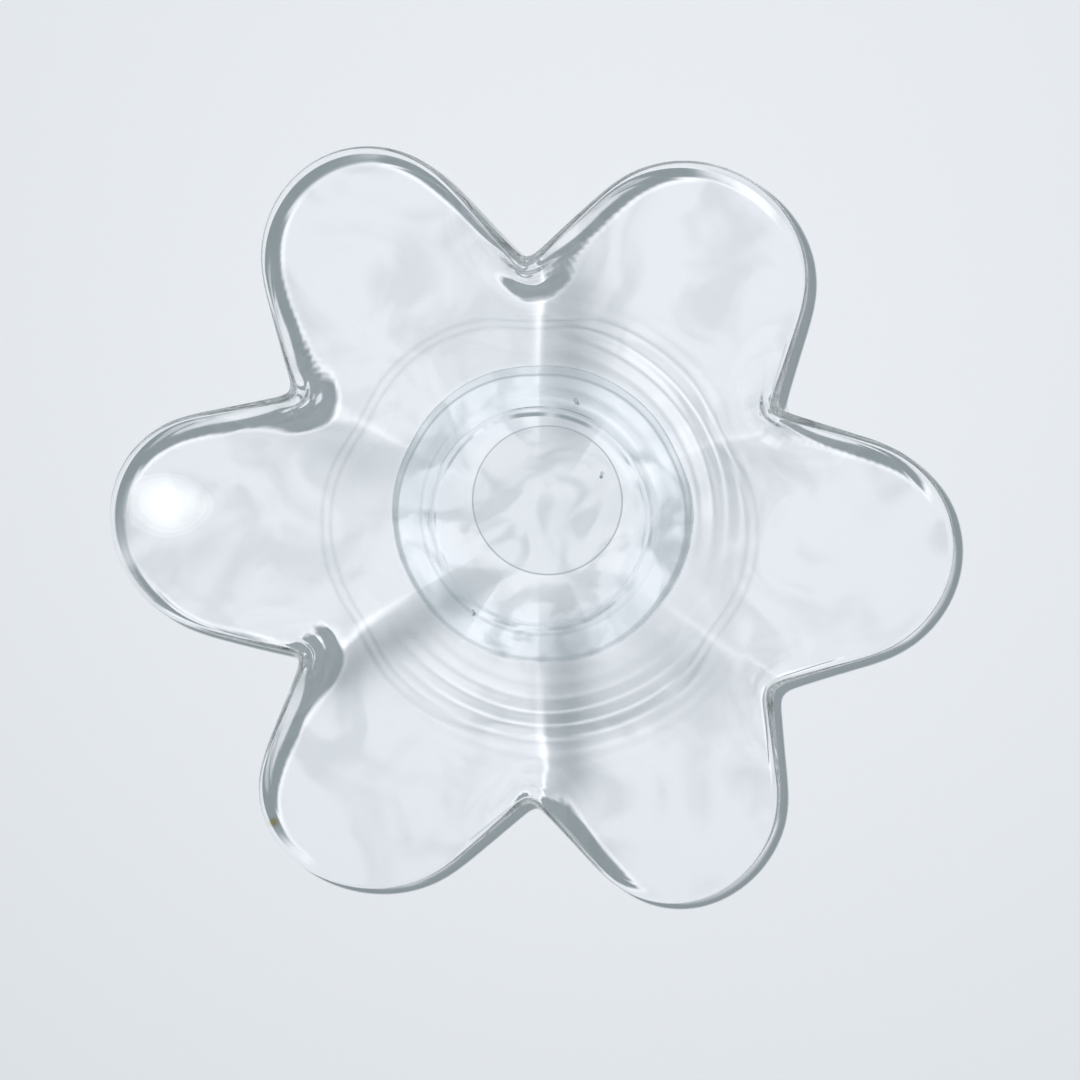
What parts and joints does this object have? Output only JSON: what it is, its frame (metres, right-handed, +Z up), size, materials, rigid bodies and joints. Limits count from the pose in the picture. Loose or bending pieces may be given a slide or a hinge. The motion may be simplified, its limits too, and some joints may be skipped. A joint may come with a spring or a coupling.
{
  "type": "floating candle bowl",
  "caption": "Clear glass flower-shaped bowl with flaring rounded petals, creases between them and a round foot, to hold water and floating candles.",
  "frame": {"origin": "on the table, under the middle of the foot and the middle of the flower", "axes": "+Z up along the bowl's axis, +X along one petal"},
  "size_m": [0.25, 0.2254, 0.056],
  "materials": {
    "clear_glass": "clear, colourless with a faint cool tint in the edges, fire-polished"
  },
  "bodies": {
    "root": {"petal_bowl": "clear_glass", "merese": "clear_glass", "foot": "clear_glass"}
  },
  "joints": []
}
